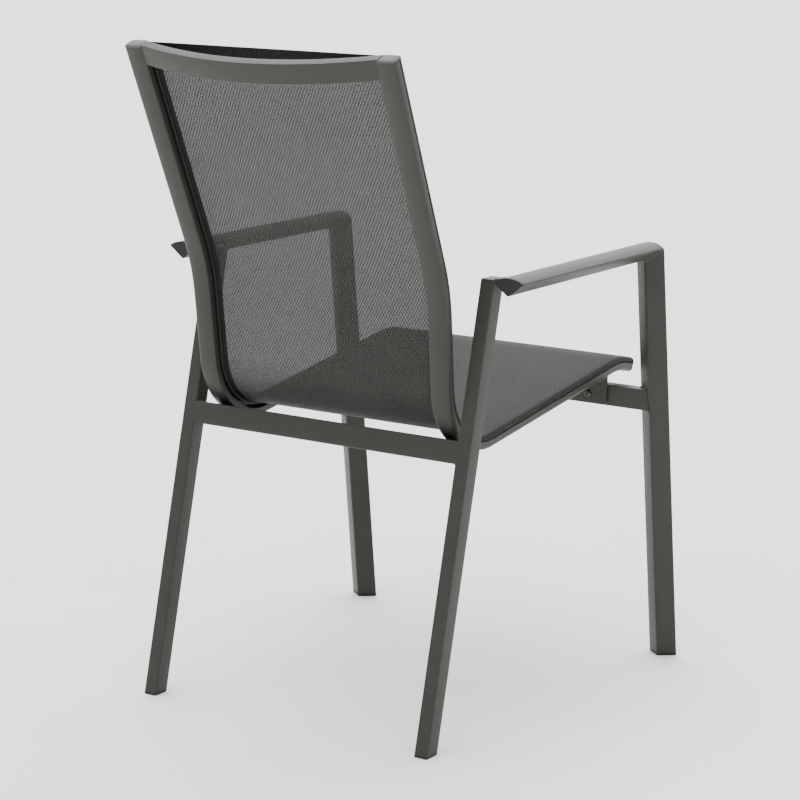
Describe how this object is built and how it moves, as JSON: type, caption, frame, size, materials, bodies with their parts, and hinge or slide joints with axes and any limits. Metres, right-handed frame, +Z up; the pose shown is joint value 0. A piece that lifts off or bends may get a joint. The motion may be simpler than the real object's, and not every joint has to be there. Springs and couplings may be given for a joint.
{
  "type": "sling patio chair",
  "caption": "Stacking patio armchair: welded metal frame with arms and raked legs, and a seat and back of one stretched sheet of woven mesh.",
  "frame": {"origin": "on the floor under the middle of the chair's bounding box", "axes": "+Z up, the sitter faces -Y, the sitter's left is +X"},
  "size_m": [0.563, 0.643, 0.8876],
  "materials": {
    "frame_paint": "satin warm grey powder coat",
    "end_plastic": "matte dark grey",
    "foot_plastic": "matte near black",
    "mesh_fabric": "open twill mesh, dark and mid grey yarns",
    "spline_plastic": "matte black cord",
    "bolt_steel": "dull plated steel"
  },
  "bodies": {
    "root": {"rear_leg_left": "frame_paint", "rear_leg_right": "frame_paint", "rear_leg_top_cap_left": "frame_paint", "rear_leg_top_cap_right": "frame_paint", "rear_foot_plug_left": "foot_plastic", "rear_foot_plug_right": "foot_plastic", "front_leg_left": "frame_paint", "front_leg_right": "frame_paint", "front_foot_plug_left": "foot_plastic", "front_foot_plug_right": "foot_plastic", "arm_left": "frame_paint", "arm_right": "frame_paint", "arm_end_cap_left": "end_plastic", "arm_end_cap_right": "end_plastic", "arm_joint_left": "frame_paint", "arm_joint_right": "frame_paint", "rear_cross_rail": "frame_paint", "front_cross_rail": "frame_paint", "sling_rail_left": "frame_paint", "sling_rail_right": "frame_paint", "rail_top_cap_left": "frame_paint", "rail_top_cap_right": "frame_paint", "rail_front_cap_left": "end_plastic", "rail_front_cap_right": "end_plastic", "top_crossbar": "frame_paint", "sling_fabric": "mesh_fabric", "spline_left": "spline_plastic", "spline_right": "spline_plastic", "front_bracket_left": "frame_paint", "front_bracket_right": "frame_paint", "rear_bracket_left": "frame_paint", "rear_bracket_right": "frame_paint", "front_bracket_bolt_left": "bolt_steel", "front_bracket_bolt_right": "bolt_steel", "front_rail_bolt_left": "bolt_steel", "front_rail_bolt_right": "bolt_steel", "rear_bracket_bolt_left": "bolt_steel", "rear_bracket_bolt_right": "bolt_steel", "rear_rail_bolt_left": "bolt_steel", "rear_rail_bolt_right": "bolt_steel"}
  },
  "joints": []
}
